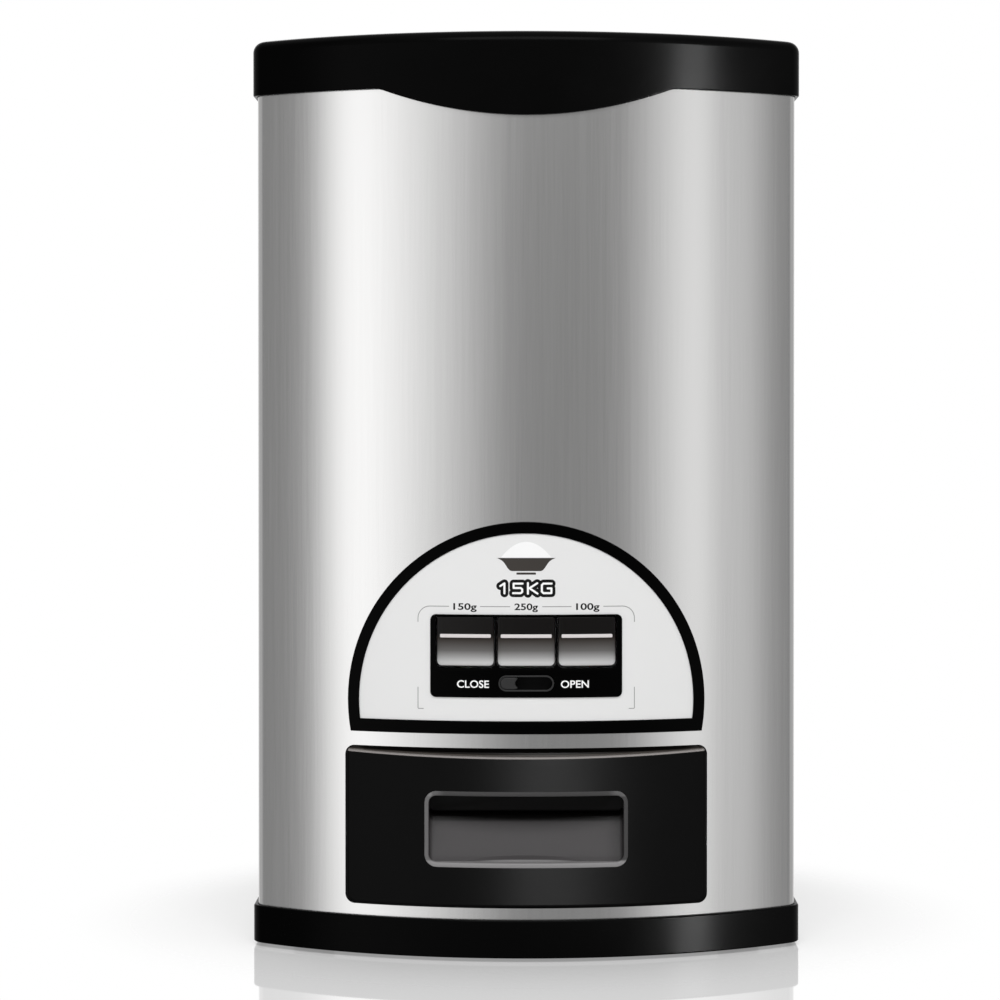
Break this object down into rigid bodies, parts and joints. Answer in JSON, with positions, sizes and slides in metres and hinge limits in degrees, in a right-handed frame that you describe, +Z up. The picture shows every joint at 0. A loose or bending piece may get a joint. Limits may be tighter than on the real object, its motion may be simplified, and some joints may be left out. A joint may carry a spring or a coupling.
{
  "type": "gravity bulk food bin",
  "caption": "Bow-fronted steel grain bin with black lid and base, portion keys and shut-off slide in a half-moon panel, and a catch drawer below.",
  "frame": {"origin": "middle of the overall box at the level of the feet's undersides", "axes": "+Z up, front towards -Y, +X to the right of someone facing the front"},
  "size_m": [0.295, 0.325, 0.488],
  "materials": {
    "black_gloss": "glossy black moulded plastic",
    "steel_wrap": "steel sheet with a fine vertical brushed grain",
    "zinc_sheet": "plain zinc-plated steel",
    "fastener": "bright plated steel",
    "pin_steel": "ground steel pin",
    "spring_wire": "drawn spring wire",
    "foot_rubber": "matt black rubber",
    "seal_rubber": "soft grey sealing strip",
    "dark_frame": "dark grey moulded plastic",
    "dark_trim": "satin dark grey plastic",
    "milky_plastic": "milky food-grade plastic",
    "gate_plastic": "white low-friction plastic",
    "fascia_grey": "satin light grey plastic",
    "key_grey": "satin warm grey keys",
    "key_trim": "pale inlay strip"
  },
  "bodies": {
    "cabinet": {"base_tray": "black_gloss", "foot_front_left": "foot_rubber", "foot_front_right": "foot_rubber", "foot_back_left": "foot_rubber", "foot_back_right": "foot_rubber", "steel_shell": "steel_wrap", "back_panel": "zinc_sheet", "top_rim": "black_gloss", "side_frame_left": "dark_frame", "side_frame_right": "dark_frame", "drawer_rail_left": "zinc_sheet", "drawer_rail_right": "zinc_sheet", "deck": "dark_frame", "metering_housing": "milky_plastic", "lever_axle": "pin_steel", "axle_clips": "fastener", "hopper": "milky_plastic", "hopper_rib_left": "milky_plastic", "hopper_rib_right": "milky_plastic", "panel_frame": "black_gloss", "fascia": "fascia_grey", "console": "black_gloss", "slot_bezel": "dark_trim", "gate_spring_150": "spring_wire", "gate_spring_250": "spring_wire", "gate_spring_100": "spring_wire", "base_screws": "fastener", "back_screws": "fastener", "deck_screws": "fastener", "housing_screws": "fastener"},
    "lid": {"lid_cap": "black_gloss", "lid_liner": "dark_frame", "lid_seal": "seal_rubber", "hinge_pin_left": "pin_steel", "hinge_pin_right": "pin_steel", "liner_screws": "fastener"},
    "drawer": {"drawer_front": "black_gloss", "grip_cup": "dark_trim", "drawer_bin": "milky_plastic", "drawer_screws": "fastener"},
    "shutoff": {"shutoff_plate": "dark_frame", "shutoff_knob": "dark_trim"},
    "lever_150": {"key_150": "key_grey", "key_ridge_150": "key_trim", "lever_150": "milky_plastic"},
    "gate_150": {"gate_150": "gate_plastic"},
    "lever_250": {"key_250": "key_grey", "key_ridge_250": "key_trim", "lever_250": "milky_plastic"},
    "gate_250": {"gate_250": "gate_plastic"},
    "lever_100": {"key_100": "key_grey", "key_ridge_100": "key_trim", "lever_100": "milky_plastic"},
    "gate_100": {"gate_100": "gate_plastic"}
  },
  "joints": [
    {"name": "lid_hinge", "type": "hinge", "parent": "cabinet", "child": "lid", "pos_m": [0, 0.154, 0.48], "axis": [-1, 0, 0], "range_deg": [0, 95]},
    {"name": "drawer_slide", "type": "slide", "parent": "cabinet", "child": "drawer", "axis": [0, -1, 0], "range_m": [0, 0.15]},
    {"name": "shutoff_slide", "type": "slide", "parent": "cabinet", "child": "shutoff", "axis": [1, 0, 0], "range_m": [0, 0.017]},
    {"name": "lever_150_hinge", "type": "hinge", "parent": "cabinet", "child": "lever_150", "pos_m": [-0.0319, -0.142, 0.188], "axis": [1, 0, 0], "range_deg": [0, 16], "stiffness_Nm_per_rad": 0.67, "springref_deg": -16.04},
    {"name": "gate_150_slide", "type": "slide", "parent": "cabinet", "child": "gate_150", "axis": [0, 1, 0], "range_m": [0, 0.013], "deforming": ["gate_spring_150"]},
    {"name": "lever_250_hinge", "type": "hinge", "parent": "cabinet", "child": "lever_250", "pos_m": [0, -0.142, 0.188], "axis": [1, 0, 0], "range_deg": [0, 16], "stiffness_Nm_per_rad": 0.67, "springref_deg": -16.04},
    {"name": "gate_250_slide", "type": "slide", "parent": "cabinet", "child": "gate_250", "axis": [0, 1, 0], "range_m": [0, 0.013], "deforming": ["gate_spring_250"]},
    {"name": "lever_100_hinge", "type": "hinge", "parent": "cabinet", "child": "lever_100", "pos_m": [0.0319, -0.142, 0.188], "axis": [1, 0, 0], "range_deg": [0, 16], "stiffness_Nm_per_rad": 0.67, "springref_deg": -16.04},
    {"name": "gate_100_slide", "type": "slide", "parent": "cabinet", "child": "gate_100", "axis": [0, 1, 0], "range_m": [0, 0.013], "deforming": ["gate_spring_100"]}
  ],
  "couplings": [
    {"joint": "gate_150_slide", "follows": "lever_150_hinge", "m_per_rad": 0.04655},
    {"joint": "gate_250_slide", "follows": "lever_250_hinge", "m_per_rad": 0.04655},
    {"joint": "gate_100_slide", "follows": "lever_100_hinge", "m_per_rad": 0.04655}
  ]
}
